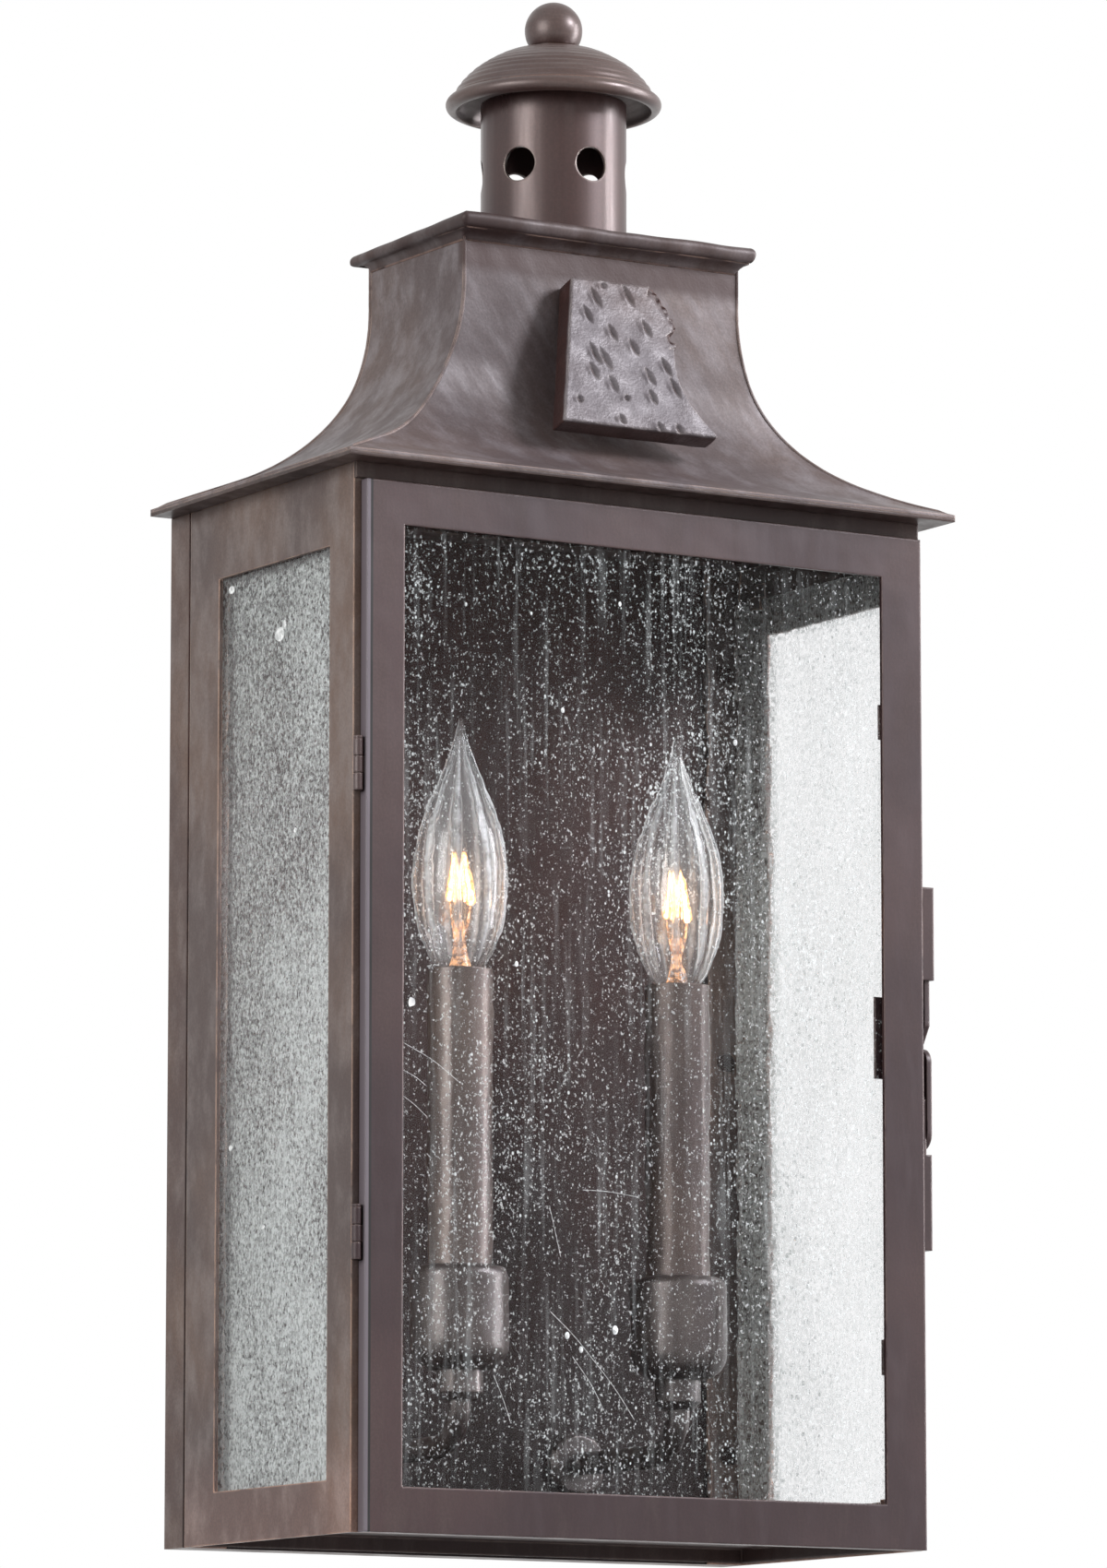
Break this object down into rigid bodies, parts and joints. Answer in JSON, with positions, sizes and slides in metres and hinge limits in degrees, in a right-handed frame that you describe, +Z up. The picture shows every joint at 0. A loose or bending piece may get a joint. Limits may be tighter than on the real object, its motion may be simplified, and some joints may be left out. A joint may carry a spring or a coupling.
{
  "type": "outdoor wall lantern",
  "caption": "Tall box lantern for an outdoor wall: flared roof, vented chimney with ball finial, hinged seeded-glass door with side latch, candle lamps inside.",
  "frame": {"origin": "on the wall plane, in the middle between the two junction box screws of the crossbar", "axes": "+Z up, +Y into the wall, so the door faces -Y; +X is to the right seen from the front"},
  "size_m": [0.241, 0.1365, 0.535],
  "materials": {
    "bronze_sheet": "hand-rubbed dark bronze patina",
    "bronze_door": "hand-rubbed dark bronze patina",
    "bronze_forged": "hammered dark bronze patina",
    "bronze_small": "hand-rubbed dark bronze patina",
    "bronze_candle": "hand-rubbed dark bronze patina",
    "zinc_fixing": "zinc plated",
    "brass_fitting": "plain",
    "seeded_glass_door": "clear seeded glass",
    "seeded_glass_side": "clear seeded glass",
    "bulb_glass": "clear thin glass",
    "bulb_metal": "nickel washed brass",
    "filament": "glowing tungsten",
    "black_plastic": "moulded",
    "lead_sleeve": "insulated wire"
  },
  "bodies": {
    "lantern": {"wall_pan": "bronze_sheet", "pan_rivets": "bronze_small", "mounting_crossbar": "zinc_fixing", "mounting_screws": "zinc_fixing", "cap_nuts": "bronze_small", "ground_screw": "zinc_fixing", "right_side_frame": "bronze_sheet", "left_side_frame": "bronze_sheet", "header_rail": "bronze_sheet", "sill_rail": "bronze_sheet", "bottom_plate": "bronze_sheet", "right_side_glass": "seeded_glass_side", "left_side_glass": "seeded_glass_side", "side_glass_clips": "bronze_small", "soffit_plate": "bronze_sheet", "roof_front_panel": "bronze_sheet", "roof_back_panel": "bronze_sheet", "roof_left_panel": "bronze_sheet", "roof_right_panel": "bronze_sheet", "roof_cap_plate": "bronze_sheet", "chimney_tube": "bronze_sheet", "chimney_bridge": "zinc_fixing", "dome_cap": "bronze_sheet", "finial": "bronze_forged", "finial_spacer": "zinc_fixing", "finial_nut": "zinc_fixing", "hammered_plate": "bronze_forged", "plate_studs": "zinc_fixing", "plate_nuts": "zinc_fixing", "hinge_body_leaves": "bronze_small", "hinge_pins": "bronze_small", "latch_base": "bronze_forged", "latch_pivot_rivet": "bronze_small", "right_candle_arm": "bronze_candle", "left_candle_arm": "bronze_candle", "arm_wall_flanges": "bronze_candle", "arm_lock_nuts": "zinc_fixing", "arm_couplings": "bronze_candle", "candle_cups": "bronze_candle", "candle_nipples": "zinc_fixing", "cup_lock_nuts": "zinc_fixing", "lamp_sockets": "black_plastic", "socket_contacts": "brass_fitting", "right_candle_sleeve": "bronze_candle", "left_candle_sleeve": "bronze_candle", "bulb_bases": "bulb_metal", "right_bulb_glass": "bulb_glass", "left_bulb_glass": "bulb_glass", "bulb_filaments": "filament", "lamp_leads": "lead_sleeve", "wire_connectors": "black_plastic"},
    "door": {"door_frame": "bronze_door", "door_glass": "seeded_glass_door", "door_glass_clips": "bronze_small", "hinge_door_leaves": "bronze_small", "door_latch_strap": "bronze_forged", "latch_strap_rivet": "bronze_small"},
    "latch_lever": {"latch_lever": "bronze_forged"}
  },
  "joints": [
    {"name": "door_hinge", "type": "hinge", "parent": "lantern", "child": "door", "pos_m": [-0.1113, -0.1268, 0], "axis": [0, 0, -1], "range_deg": [0, 150]},
    {"name": "latch_pivot", "type": "hinge", "parent": "lantern", "child": "latch_lever", "pos_m": [0.11465, -0.12125, -0.04785], "axis": [1, 0, 0], "range_deg": [0, 90]}
  ]
}
